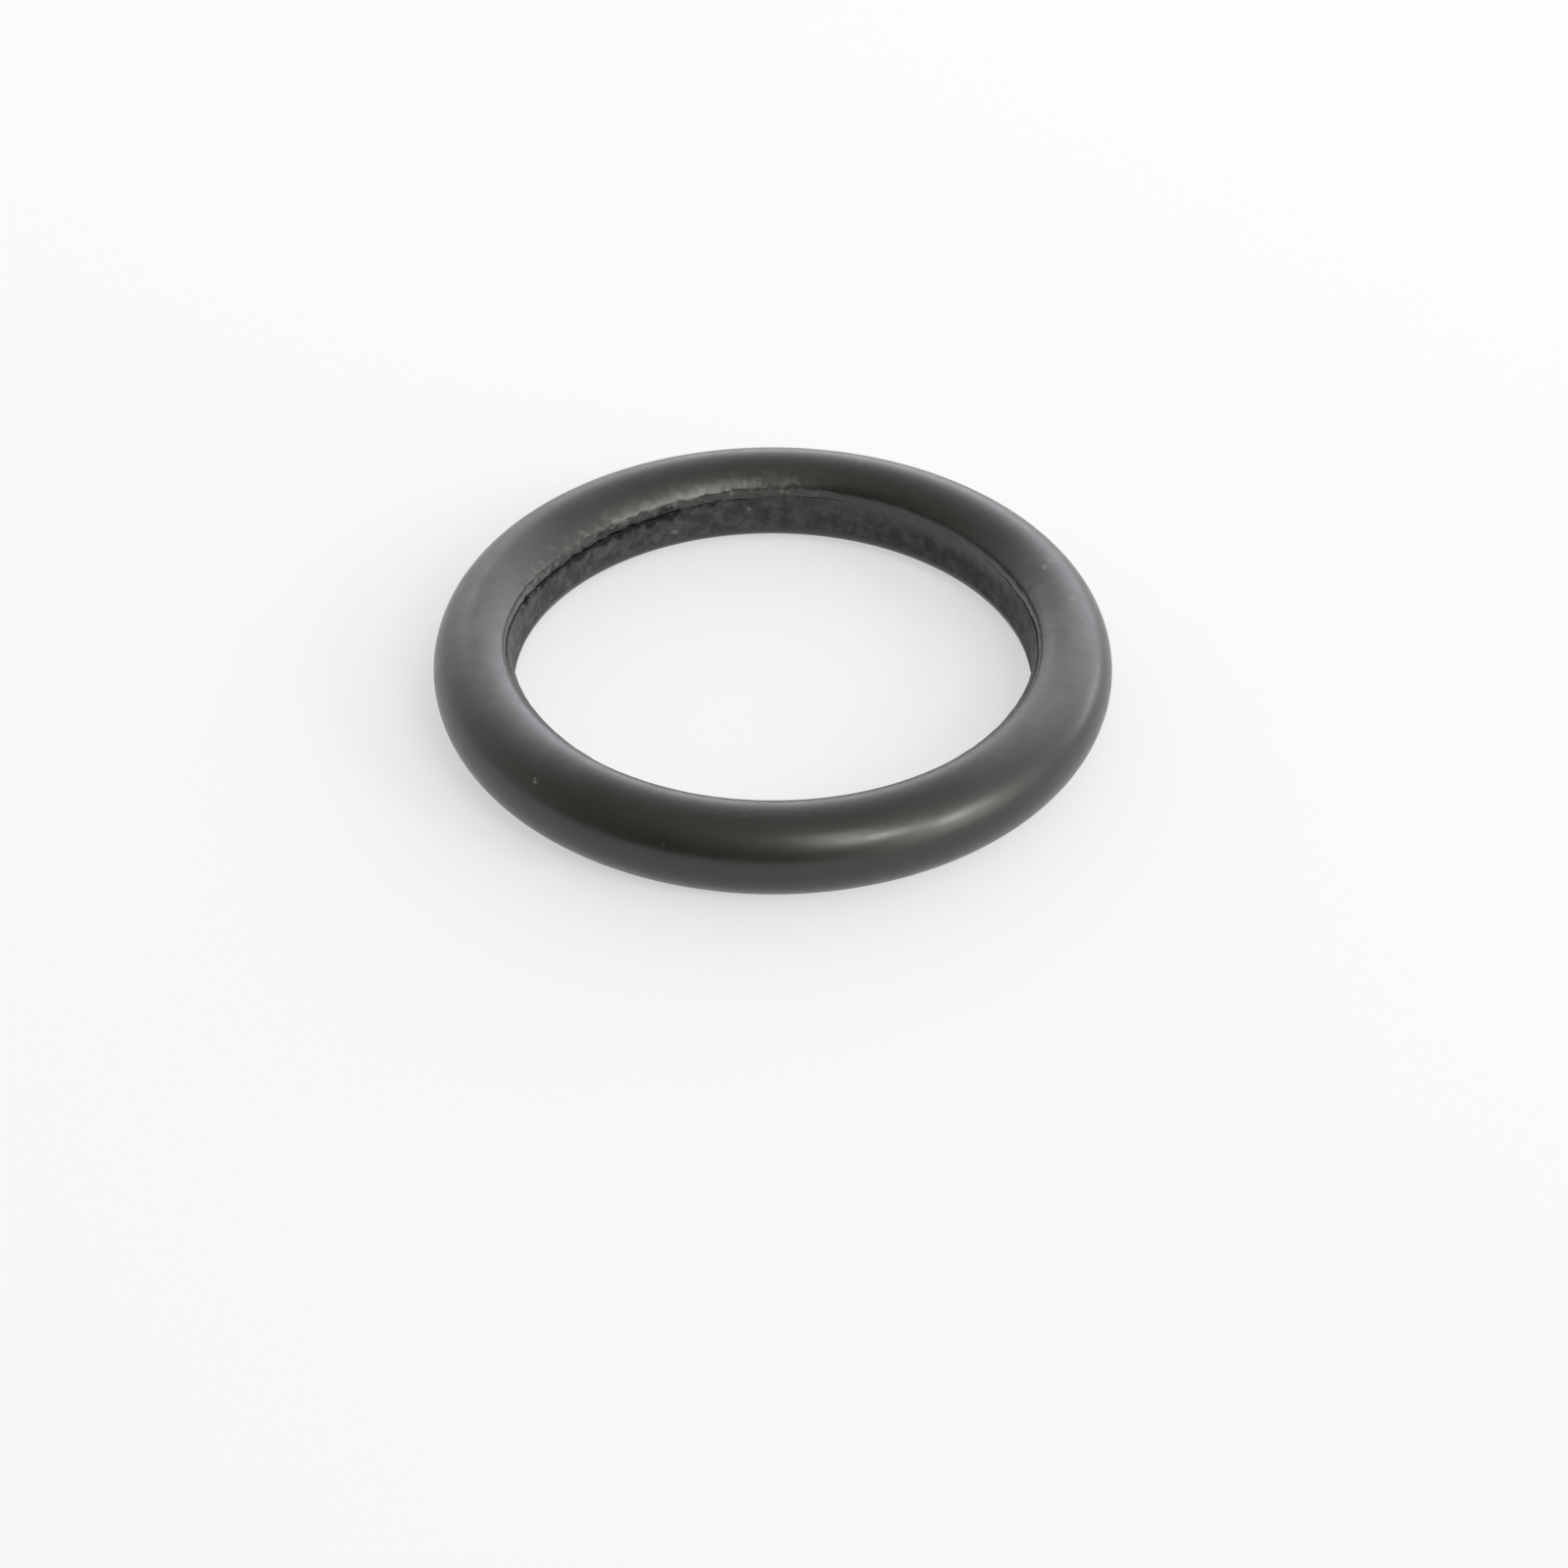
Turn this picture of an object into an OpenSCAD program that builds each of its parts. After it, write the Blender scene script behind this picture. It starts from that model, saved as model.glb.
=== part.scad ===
// Rubber O-ring, moulded in one piece, lying flat on its side.
// The ring's axis is Z and it rests on the plane Z = 0.
// Its cord is round. The bore side is cut back flat below a trim line, and
// the smooth skin above that line ends in a rounded lip over a small groove.

/* [Ring] */
// Inside diameter of the round cord, before the bore side is cut back
inner_d = 22; // [16:0.5:60]
// Diameter of the round cord
cord_d = 4; // [3.4:0.1:6]

/* [Trimmed bore] */
// How far the bore side is cut back from the round
trim_depth = 0.5; // [0.3:0.05:0.7]
// Radius of the lower edge, where the cut meets the underside
heel_r = 0.5; // [0.2:0.05:0.8]

/* [Trim line] */
// Height of the trim line above the middle of the cord
line_rise = 0.9; // [0.5:0.05:1]
// How far the skin above the line stands back from the cut face
lip_setback = 0.1; // [0.05:0.05:0.25]
// Radius that rounds the skin down to the line
lip_r = 0.8; // [0.4:0.05:1]
// Depth of the groove under the lip, from the cut face
groove_depth = 0.3; // [0.15:0.05:0.5]
// Height of the groove at its mouth
groove_w = 0.25; // [0.1:0.05:0.4]

/* [Hidden] */
$fn = 96;
rubber_color = [0.16, 0.16, 0.155];
// Middle of the round cord
cord_r = cord_d / 2;
mid_r = inner_d / 2 + cord_r;
mid_z = cord_r;
// The two faces of the bore: the cut face and the skin's inner face
bore_r = inner_d / 2 + trim_depth;
skin_r = bore_r + lip_setback;
// Heights of the groove: its roof is the underside of the lip
line_z = mid_z + line_rise;
groove_floor_z = line_z - groove_w;

// Middle of an arc of radius r that touches the bore face at face_r and the
// round cord from inside, above the middle (side = 1) or below it (side = -1)
function edge_middle(face_r, r, side) =
    [face_r + r, mid_z + side * sqrt(pow(cord_r - r, 2) - pow(mid_r - face_r - r, 2))];

// Where that arc runs over into the round cord
function edge_end(face_r, r, side) =
    let (c = edge_middle(face_r, r, side), away = c - [mid_r, mid_z])
    c + away * (r / norm(away));

// What the bore face and its rounded edge take off the round cord, on one side
// of the height from_z
module bore_cut(face_r, r, side, from_z) {
    c = edge_middle(face_r, r, side);
    end = edge_end(face_r, r, side);
    past = mid_z + side * cord_d;
    difference() {
        polygon([
            [0, from_z],
            [face_r, from_z],
            [face_r, c[1]],
            c,
            end,
            [end[0], past],
            [0, past]
        ]);
        translate(c) circle(r = r);
    }
}

// The groove under the lip, a V that opens into the bore
module trim_groove() {
    polygon([
        [0, line_z],
        [skin_r, line_z],
        [bore_r + groove_depth, line_z - groove_w / 3],
        [bore_r, groove_floor_z],
        [0, groove_floor_z]
    ]);
}

// Half of the ring's section, at its true distance from the axis
module cord_section() {
    difference() {
        translate([mid_r, mid_z]) circle(d = cord_d);
        bore_cut(bore_r, heel_r, -1, groove_floor_z);
        bore_cut(skin_r, lip_r, 1, line_z);
        trim_groove();
    }
}

module o_ring() {
    color(rubber_color) rotate_extrude(angle = 360) cord_section();
}

o_ring();
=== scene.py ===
import math

import bpy
import numpy as np
from mathutils import Matrix, Vector, noise


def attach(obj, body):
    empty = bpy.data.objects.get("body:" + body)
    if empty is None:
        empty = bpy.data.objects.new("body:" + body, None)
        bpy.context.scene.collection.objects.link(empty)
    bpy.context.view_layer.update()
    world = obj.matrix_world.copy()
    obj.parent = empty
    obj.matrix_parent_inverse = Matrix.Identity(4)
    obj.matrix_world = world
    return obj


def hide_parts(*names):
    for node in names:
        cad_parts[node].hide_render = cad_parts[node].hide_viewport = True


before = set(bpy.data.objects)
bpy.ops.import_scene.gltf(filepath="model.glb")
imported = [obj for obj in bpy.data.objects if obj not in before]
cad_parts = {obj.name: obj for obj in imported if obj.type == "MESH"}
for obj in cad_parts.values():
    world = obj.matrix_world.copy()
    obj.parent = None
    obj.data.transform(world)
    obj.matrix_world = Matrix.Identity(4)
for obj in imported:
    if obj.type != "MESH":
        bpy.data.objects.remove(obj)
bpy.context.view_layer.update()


# The ring: one moulding of black rubber with a round cord, 22 mm inside and
# 4 mm thick. After moulding, its bore was trimmed by a cutter. That left a
# flat matt band and, above it, a line where the moulded skin ends in a lip.

MM = 0.001
cord_r = 2.0 * MM
mid_r = 13.0 * MM
mid_z = cord_r
bore_r = 11.5 * MM
heel_r = 0.5 * MM

# How many points go round the ring, and how many lie on each part of a section
TURN_POINTS = 1100
ROUND_POINTS = 44
HEEL_POINTS = 5
BAND_POINTS = 20
GROOVE_POINTS = 4
LIP_POINTS = 12


def in_space(radius, height, angle):
    """Points at a radius and a height, turned by an angle round the ring's axis."""
    return np.stack(
        np.broadcast_arrays(radius * np.cos(angle), radius * np.sin(angle), height), axis=-1
    )


def grain(points, size, seed):
    """Smooth bumps about size across, from -1 to 1, at points in space."""
    shift = Vector((seed, 2.7 * seed, -1.3 * seed))
    return np.array([noise.noise(Vector(p) / size + shift) for p in points])


turn = np.linspace(0, 2 * math.pi, TURN_POINTS, endpoint=False)
rim = in_space(bore_r, 0, turn)

# The cutter wandered. Round the ring, in degrees from the front to the right:
# the height of the trim line, the radius down to which the skin comes in, the
# rounding of its lip, the gap under it, in millimetres, and how torn it is.
wander = np.array([
    (-180, 2.78, 11.43, 0.40, 0.12, 1.9),
    (-165, 2.72, 11.36, 0.32, 0.18, 2.1),
    (-145, 2.68, 11.30, 0.28, 0.34, 2.4),
    (-125, 2.66, 11.34, 0.28, 0.34, 2.4),
    (-110, 2.82, 11.52, 0.38, 0.20, 1.4),
    (-90, 3.14, 11.78, 0.45, 0.12, 0.7),
    (-70, 3.30, 11.88, 0.40, 0.11, 0.4),
    (-45, 3.40, 11.92, 0.30, 0.10, 0.3),
    (-25, 3.30, 11.88, 0.40, 0.10, 0.3),
    (0, 3.10, 11.78, 0.60, 0.10, 0.3),
    (25, 3.25, 11.84, 0.45, 0.10, 0.3),
    (45, 3.36, 11.90, 0.32, 0.10, 0.4),
    (70, 3.30, 11.85, 0.40, 0.10, 0.6),
    (92, 3.14, 11.70, 0.50, 0.10, 1.1),
    (106, 3.04, 11.56, 0.65, 0.08, 1.1),
    (120, 2.90, 11.50, 0.90, 0.01, 0.3),
    (160, 2.88, 11.50, 0.85, 0.01, 0.6),
    (172, 2.84, 11.47, 0.60, 0.06, 1.4),
])
SMOOTHED_OVER = 30


def along(column):
    """One column of the wander, joined smoothly round the ring."""
    joined = np.interp(np.degrees(turn) + 90, wander[:, 0], wander[:, column], period=360)
    joined = np.concatenate([joined[-SMOOTHED_OVER:], joined, joined[:SMOOTHED_OVER]])
    soft = np.hanning(2 * SMOOTHED_OVER + 1)
    return np.convolve(joined, soft / soft.sum(), "valid")


gap, torn = along(4), along(5)
line_at = MM * (
    along(1) + 0.05 * grain(rim, 7 * MM, 1)
    + torn * (0.040 * grain(rim, 1.7 * MM, 2) + 0.045 * grain(rim, 0.45 * MM, 3))
)
skin_at = MM * (along(2) + 0.03 * grain(rim, 2.5 * MM, 4) + torn * 0.025 * grain(rim, 0.45 * MM, 5))
lip_r = MM * along(3)
# The groove is full where depth is 1, and next to none where the gap closes. Its
# crest is the band's top edge, where the band's last two points roll back by
# the millimetres given. The bottom of the V lies behind it.
depth = np.clip((gap - 0.01) / 0.08, 0.05, 1)
crest_z = line_at - MM * (gap + torn * (0.035 * grain(rim, 1.1 * MM, 6) + 0.030 * grain(rim, 0.4 * MM, 7)))
ROLLED_BACK = {BAND_POINTS - 1: 0.015, BAND_POINTS: 0.05}
crest_r = bore_r + ROLLED_BACK[BAND_POINTS] * MM * depth
groove_r = (
    np.maximum(skin_at, bore_r + 0.12 * MM * depth)
    + depth * 0.10 * MM * (1 + 0.5 * grain(rim, 1.5 * MM, 8))
)
groove_z = line_at - MM * (gap + depth * (0.16 - 0.3 * gap + 0.06 * grain(rim, 0.8 * MM, 9)))
# How much painted shade lies in the gap: none where it is narrow
gap_shade = np.clip((gap - 0.1) / 0.16, 0, 1)

# Where the two rounded edges of the bore run over into the round cord
lip_mid_r = skin_at + lip_r
lip_mid_z = mid_z + np.sqrt((cord_r - lip_r) ** 2 - (mid_r - lip_mid_r) ** 2)
lip_turn = np.arctan2(lip_mid_z - mid_z, lip_mid_r - mid_r)
heel_mid_r = bore_r + heel_r
heel_mid_z = mid_z - math.sqrt((cord_r - heel_r) ** 2 - (mid_r - heel_mid_r) ** 2)
heel_turn = math.atan2(heel_mid_z - mid_z, heel_mid_r - mid_r)

# The section runs over the top, down the outside, under, and up the bore. Each entry is the radius, the
# height, how far the surface is cut rubber, how far the cutter dragged the skin there, and how much painted
# shade it gets in or near the gap.
section = []


def worn(middle_r, middle_z, size, angle, amount):
    """A point on an arc of the skin, moved by the lumps that the cutter left, with its drag and painted
    shade.
    """
    out, over = np.cos(angle), np.sin(angle)
    spot_r, spot_z = middle_r + size * out, middle_z + size * over
    spots = in_space(spot_r, spot_z, turn)
    lumps = MM * amount * torn * (0.015 * grain(spots, 0.42 * MM, 21) + 0.011 * grain(spots, 0.19 * MM, 22))
    dragged = amount * np.clip(torn - 0.9, 0.05, 1)
    section.append((
        spot_r + lumps * out, spot_z + lumps * over, 0, dragged, gap_shade * max(0, 2.2 * amount - 1.7),
    ))


for i in range(ROUND_POINTS):
    angle = lip_turn + (heel_turn - lip_turn) * i / (ROUND_POINTS - 1)
    worn(mid_r, mid_z, cord_r, angle, max(0, 0.55 - 0.15 * i))
for i in range(1, HEEL_POINTS + 1):
    angle = heel_turn + (-math.pi - heel_turn) * i / HEEL_POINTS
    section.append((heel_mid_r + heel_r * math.cos(angle), heel_mid_z + heel_r * math.sin(angle), 0, 0, 0))
for i in range(1, BAND_POINTS + 1):
    share = i / BAND_POINTS
    to_crest = (1 - share) * (crest_z - heel_mid_z) / MM
    bare = 1 - (1 - depth) * np.clip(1 - to_crest / 0.9, 0, 1)
    shade = np.clip(1 - to_crest / 0.6, 0, 1) * gap_shade
    section.append((
        bore_r + ROLLED_BACK.get(i, 0) * MM * depth, heel_mid_z + (crest_z - heel_mid_z) * share,
        bare, 0, shade,
    ))
# Down into the groove, with painted shade growing towards its bottom
for i in range(1, GROOVE_POINTS + 1):
    share = i / GROOVE_POINTS
    section.append((
        crest_r + (groove_r - crest_r) * share, crest_z + (groove_z - crest_z) * share ** 4,
        depth, 0, np.maximum(gap_shade, share ** 3),
    ))
for i in range(1, GROOVE_POINTS + 1):
    share = i / GROOVE_POINTS
    section.append((
        groove_r + (skin_at - groove_r) * share, groove_z + (line_at - groove_z) * share,
        0, 0, gap_shade,
    ))
for i in range(LIP_POINTS):
    angle = math.pi + (lip_turn - math.pi) * i / LIP_POINTS
    worn(lip_mid_r, lip_mid_z, lip_r, angle, 1 - 0.45 * i / LIP_POINTS)

radius, height, cut, drag, under = (
    np.stack([np.broadcast_to(value, turn.shape) for value in values], axis=1)
    for values in zip(*section)
)

# The cutter's rough face: bumps and small pits, fading out at its two edges
band = slice(ROUND_POINTS + HEEL_POINTS, ROUND_POINTS + HEEL_POINTS + BAND_POINTS)
fade = np.ones(BAND_POINTS)
fade[:2] = (0.3, 0.7)
fade[-3:] = (0.7, 0.4, 0.2)
spots = in_space(radius[:, band], height[:, band], turn[:, None]).reshape(-1, 3)
bumps = 0.018 * grain(spots, 0.75 * MM, 11) + 0.008 * grain(spots, 0.26 * MM, 12)
pits = np.clip(grain(spots, 0.8 * MM, 13) - 0.35, 0, 1) * 0.20
radius[:, band] += (MM * (bumps + pits)).reshape(TURN_POINTS, BAND_POINTS) * fade

points = in_space(radius, height, turn[:, None]).reshape(-1, 3)
count = len(section)
faces = []
for i in range(TURN_POINTS):
    here = i * count
    there = (i + 1) % TURN_POINTS * count
    for j in range(count):
        k = (j + 1) % count
        faces.append((here + j, here + k, there + k, there + j))


def stand(name, data):
    """A new object in the scene, made of its data."""
    made = bpy.data.objects.new(name, data)
    bpy.context.scene.collection.objects.link(made)
    return made


SHARP_FROM = math.radians(50)
mesh = bpy.data.meshes.new("ring")
mesh.from_pydata([tuple(p) for p in points], [], faces)
mesh.shade_smooth()
mesh.set_sharp_from_angle(angle=SHARP_FROM)
# The under values carry the painted shade in and near the gap
for name, values in (("cut", cut), ("drag", drag), ("under", under)):
    attribute = mesh.attributes.new(name, "FLOAT", "POINT")
    attribute.data.foreach_set("value", values.reshape(-1).astype(np.float32))
ring = stand("rubber_ring", mesh)

rubber = bpy.data.materials.new("black_rubber")
rubber.use_nodes = True
# The nodes that the functions below add go into this tree
tree = rubber.node_tree
bsdf = tree.nodes["Principled BSDF"]


def feed(socket, value):
    """Set a socket to a number, vector or colour, or link it to the output that gives it."""
    if isinstance(value, bpy.types.NodeSocket):
        tree.links.new(value, socket)
    elif socket.type == "RGBA":
        socket.default_value = (*value, 1)
    else:
        socket.default_value = value


def add(kind, **values):
    """A new node, with values for its properties and its sockets."""
    made = tree.nodes.new("ShaderNode" + kind)
    for name, value in values.items():
        if hasattr(made, name):
            setattr(made, name, value)
        else:
            feed(made.inputs[name.replace("_", " ")], value)
    return made


def combine(operation, a, b):
    """The result of a Math node on two values."""
    made = add("Math", operation=operation)
    feed(made.inputs[0], a)
    feed(made.inputs[1], b)
    return made.outputs[0]


def vector(operation, a, b=(0, 0, 0)):
    """A Vector Math node's result: a number for a distance, length or dot product, else a vector."""
    made = add("VectorMath", operation=operation)
    feed(made.inputs[0], a)
    feed(made.inputs[1], b)
    return made.outputs["Value" if operation in ("DISTANCE", "DOT_PRODUCT", "LENGTH") else "Vector"]


def scaled(a, size):
    """Vector a, size times as long."""
    return add("VectorMath", operation="SCALE", Vector=a, Scale=size).outputs["Vector"]


def ramp(value, low, high, to_low, to_high):
    """value between low and high, spread to to_low and to_high."""
    return add(
        "MapRange", Value=value, From_Min=low, From_Max=high, To_Min=to_low, To_Max=to_high
    ).outputs["Result"]


def blend_colour(share, a, b):
    """Colour a where share is 0 and b where it is 1."""
    return add("Mix", data_type="RGBA", Factor=share, A=a, B=b).outputs["Result"]


def blend_value(share, a, b):
    """Value a where share is 0 and b where it is 1."""
    return add("Mix", data_type="FLOAT", Factor=share, A=a, B=b).outputs["Result"]


# Object coordinates in millimetres
in_mm = scaled(add("TexCoord").outputs["Object"], 1 / MM)


def speckle(scale, detail=2.0, rough=0.5):
    """Noise over the ring, with scale bumps to the millimetre."""
    return add("TexNoise", Scale=scale, Detail=detail, Roughness=rough, Vector=in_mm).outputs["Fac"]


# Moulded skin: carbon black rubber, a little brown, in an uneven tone
skin_dark = (0.0098, 0.0090, 0.0064)
skin_pale = (0.0132, 0.0120, 0.0092)
skin_tone = blend_colour(ramp(speckle(0.35, 3), 0.35, 0.65, 0, 1), skin_dark, skin_pale)

# Cut rubber: matt, grey with talc in its pits. Where the cut faces up, on the ledge at the sides, it is
# paler with painted light
cut_dark = (0.014, 0.0145, 0.017)
talc_in_pits = (0.046, 0.047, 0.051)
painted_light_on_ledge = (0.13, 0.13, 0.135)
upward = add("SeparateXYZ", Vector=add("NewGeometry").outputs["Normal"]).outputs["Z"]
cut_tone = blend_colour(ramp(speckle(1.7, 4, 0.65), 0.42, 0.68, 0, 1), cut_dark, talc_in_pits)
cut_tone = blend_colour(ramp(upward, 0.5, 0.9, 0, 1), cut_tone, painted_light_on_ledge)

# A faint grey bloom of dust and painted sheen on the two sides of the ring, on top and less on the outside
sheen_and_bloom_grey = (0.088, 0.088, 0.094)
flat = vector("MULTIPLY", in_mm, (1, 1, 0))
outward = vector("NORMALIZE", flat)
sheen_and_bloom = combine(
    "MAXIMUM",
    ramp(vector("DOT_PRODUCT", outward, (0.978, -0.208, 0)), 0.72, 0.98, 0, 1),
    ramp(vector("DOT_PRODUCT", outward, (-0.99, -0.14, 0)), 0.66, 0.95, 0, 1),
)
for share in (
    ramp(speckle(0.8, 4, 0.6), 0.35, 0.65, 0.6, 1),
    ramp(vector("LENGTH", flat), 13.2, 14.2, 1, 0.4),
    ramp(add("SeparateXYZ", Vector=in_mm).outputs["Z"], 3.4, 3.98, 0, 1),
):
    sheen_and_bloom = combine("MULTIPLY", sheen_and_bloom, share)
skin_tone = blend_colour(sheen_and_bloom, skin_tone, sheen_and_bloom_grey)

# The skin that the cutter dragged is duller and a little paler, with pale flecks
rubbed_skin = (0.032, 0.033, 0.029)
pale_fleck = (0.115, 0.117, 0.102)
dragged = add("Attribute", attribute_name="drag").outputs["Fac"]
rubbed = combine("MULTIPLY", dragged, ramp(speckle(2.6, 4, 0.65), 0.42, 0.62, 0.3, 1))
fleck = combine("MULTIPLY", dragged, ramp(speckle(2.2, 4, 0.6), 0.50, 0.64, 0, 1))
skin_tone = blend_colour(rubbed, skin_tone, rubbed_skin)
skin_tone = blend_colour(fleck, skin_tone, pale_fleck)

# Painted shade: dark ragged patches at the torn lip and in the gap under it
painted_shade_colour = (0.007, 0.007, 0.008)
painted_shade_share = add("Attribute", attribute_name="under").outputs["Fac"]
ragged = ramp(speckle(2.0, 3, 0.6), 0.35, 0.65, -0.4, 0.4)
painted_shade_patch = ramp(combine("ADD", painted_shade_share, ragged), 0.42, 0.78, 0, 0.9)

# Dust: small specks anywhere, and a few whose places show, given in millimetres
# with how far each reaches. Shaken coordinates give them all uneven edges.
dust_grey = (0.25, 0.245, 0.23)
noisy = add("TexNoise", Scale=5.0, Detail=2.0, Vector=in_mm).outputs["Color"]
shaken = vector("ADD", in_mm, scaled(vector("SUBTRACT", noisy, (0.5, 0.5, 0.5)), 0.45))
grit = add("TexVoronoi", Scale=0.9, Vector=shaken)
pick = add("SeparateColor", Color=grit.outputs["Color"])
dust = combine(
    "MULTIPLY",
    ramp(grit.outputs["Distance"], 0.03, 0.07, 1, 0), ramp(pick.outputs["Red"], 0.86, 0.92, 0, 0.45),
)
for x, y, z, reach in (
    (-13.17, 2.35, 3.96, 0.15), (-10.01, -10.40, 3.39, 0.16), (12.71, 5.80, 3.75, 0.22),
    (12.48, 4.90, 3.96, 0.30), (12.15, 4.35, 4.00, 0.16), (4.00, 12.38, 4.00, 0.12),
    (8.55, 10.37, 3.95, 0.14), (13.33, 2.07, 3.94, 0.20), (13.58, 0.75, 3.91, 0.14),
    (-1.15, 11.45, 2.03, 0.18), (-5.77, 10.08, 2.93, 0.20), (-4.58, 10.55, 1.33, 0.15),
):
    away = vector("DISTANCE", shaken, (x, y, z))
    dust = combine("MAXIMUM", dust, ramp(away, 0.1 * reach, reach, 0.7, 0))

cut_share = add("Attribute", attribute_name="cut").outputs["Fac"]
tone = blend_colour(cut_share, skin_tone, cut_tone)
# The painted shade darkens the tone in and near the gap
tone = blend_colour(painted_shade_patch, tone, painted_shade_colour)
feed(bsdf.inputs["Base Color"], blend_colour(dust, tone, dust_grey))

# Satin on the skin, matt where it is rubbed, cut or dusty
roughness = blend_value(rubbed, ramp(speckle(1.2, 3), 0.3, 0.7, 0.27, 0.34), 0.44)
roughness = blend_value(cut_share, roughness, 0.72)
feed(bsdf.inputs["Roughness"], blend_value(dust, roughness, 0.8))
feed(bsdf.inputs["IOR"], 1.65)
shine = blend_value(cut_share, 0.5, ramp(speckle(1.7, 4, 0.65), 0.40, 0.66, 0.42, 0.64))
# Less shine where the painted shade lies
feed(bsdf.inputs["Specular IOR Level"], blend_value(painted_shade_patch, shine, 0.12))
fine = add("Bump", Strength=0.25, Distance=0.004 * MM, Height=speckle(9.0, 3, 0.6))
feed(bsdf.inputs["Normal"], fine.outputs["Normal"])

ring.data.materials.append(rubber)
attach(ring, "root")
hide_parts("o_ring")


# The floor: a plain sheet of matt white board, much larger than the picture.
# The ring lies loose on it.

board_half = 2.0
floor_mesh = bpy.data.meshes.new("floor")
floor_mesh.from_pydata(
    [
        (-board_half, -board_half, 0), (board_half, -board_half, 0),
        (board_half, board_half, 0), (-board_half, board_half, 0),
    ],
    [], [(0, 1, 2, 3)],
)
floor = stand("floor", floor_mesh)
board = bpy.data.materials.new("white_board")
board.use_nodes = True
tree = board.node_tree
board_bsdf = tree.nodes["Principled BSDF"]
feed(board_bsdf.inputs["Base Color"], (0.40, 0.40, 0.403))
feed(board_bsdf.inputs["Roughness"], 0.9)
feed(board_bsdf.inputs["Specular IOR Level"], 0)
# A glow that only the camera and reflections see lifts the board to white and
# lightens its shadows, and puts no light on the ring. It is a little weaker
# towards the front left.
ray = add("LightPath")
seen = combine("MAXIMUM", ray.outputs["Is Camera Ray"], ray.outputs["Is Glossy Ray"])
to_back_right = vector("DOT_PRODUCT", add("TexCoord").outputs["Object"], (0.55, 0.83, 0))
lift = combine("MULTIPLY", seen, ramp(to_back_right, -0.06, 0.06, 0.522, 0.580))
feed(board_bsdf.inputs["Emission Strength"], lift)
feed(board_bsdf.inputs["Emission Color"], (0.98, 0.962, 1.0))
floor_mesh.materials.append(board)


# The light: a plain white studio. Most of it comes from low behind the ring,
# the rest from above and the sides. Windows in front to the right make the
# long highlights.

world = bpy.data.worlds.new("studio")
bpy.context.scene.world = world
world.use_nodes = True
tree = world.node_tree
sky = tree.nodes["Background"]
looked_along = add("TexCoord").outputs["Generated"]
COOL = (0.98, 0.985, 1.06)
PLAIN = (1.0, 0.99, 1.0)
WARM = (1.03, 1.0, 0.93)


def direction(azimuth, height):
    """The direction to a light: azimuth 0 is in front of the ring, 90 to its right; degrees."""
    a, h = math.radians(azimuth), math.radians(height)
    return Vector((math.sin(a) * math.cos(h), -math.cos(a) * math.cos(h), math.sin(h)))


def glow(azimuth, height, tightness, strength, colour):
    """A soft patch of light in the sky, brightest at its middle."""
    off_middle = combine("SUBTRACT", vector("DOT_PRODUCT", looked_along, direction(azimuth, height)), 1)
    fall = combine("POWER", math.e, combine("MULTIPLY", off_middle, tightness))
    return scaled(colour, combine("MULTIPLY", fall, strength))


total = glow(75, 70, 2, 0.39, WARM)
for patch in (
    glow(143, 10, 5, 2.15, COOL),
    glow(-148, 10, 5, 1.10, PLAIN),
    glow(177, 4, 28, 1.4, COOL),
    glow(-90, 10, 5, 0.42, WARM),
    glow(60, 10, 12, 2.3, WARM),
    glow(84, 20, 8, 0.34, PLAIN),
    glow(40, 50, 5, 0.53, PLAIN),
):
    total = vector("ADD", total, patch)
feed(sky.inputs["Color"], total)
feed(sky.inputs["Strength"], 1)


def window(name, azimuth, height, wide, tall, strength, colour):
    """A lit rectangle that faces the ring. strength is its brightness, where 1 is white."""
    away = 2.0
    data = bpy.data.lights.new(name, "AREA")
    data.color = colour
    data.shape = "RECTANGLE"
    data.size = wide
    data.size_y = tall
    data.energy = strength * math.pi * wide * tall
    lamp = stand(name, data)
    lamp.location = direction(azimuth, height) * away
    lamp.rotation_mode = "QUATERNION"
    lamp.rotation_quaternion = (-direction(azimuth, height)).to_track_quat("-Z", "Y")
    lamp.visible_camera = False


window("tall_window", 27, 47, 0.42, 0.98, 4.4, WARM)
window("low_window", 39, 37, 0.42, 0.34, 9.5, WARM)
window("side_window", 62, 26, 0.42, 0.36, 11.5, WARM)
window("low_panel", 122, 5.5, 0.80, 0.30, 2.4, PLAIN)
window("back_panel", 206, 26, 0.70, 0.28, 1.0, COOL)


# The camera looks down at the ring from the front, as for a close product
# picture: 0.2 m away, 39 degrees above the board.

camera_data = bpy.data.cameras.new("camera")
camera_data.sensor_width = 36
camera_data.lens = 106.886
camera_data.clip_start = 0.01
camera = stand("camera", camera_data)
bpy.context.scene.camera = camera
elevation = 0.677477
distance = 202.57 * MM
roll = 0.0043327
aim = Vector((0.5136, -6.2771, 0)) * MM
ahead = Vector((0, math.cos(elevation), -math.sin(elevation)))
right = Vector((1, 0, 0))
up = right.cross(ahead)
right, up = (
    right * math.cos(roll) + up * math.sin(roll),
    up * math.cos(roll) - right * math.sin(roll),
)
camera.matrix_world = Matrix.Translation(aim - ahead * distance) @ Matrix(
    (right, up, -ahead)
).transposed().to_4x4()

bpy.context.scene.view_settings.view_transform = "Standard"
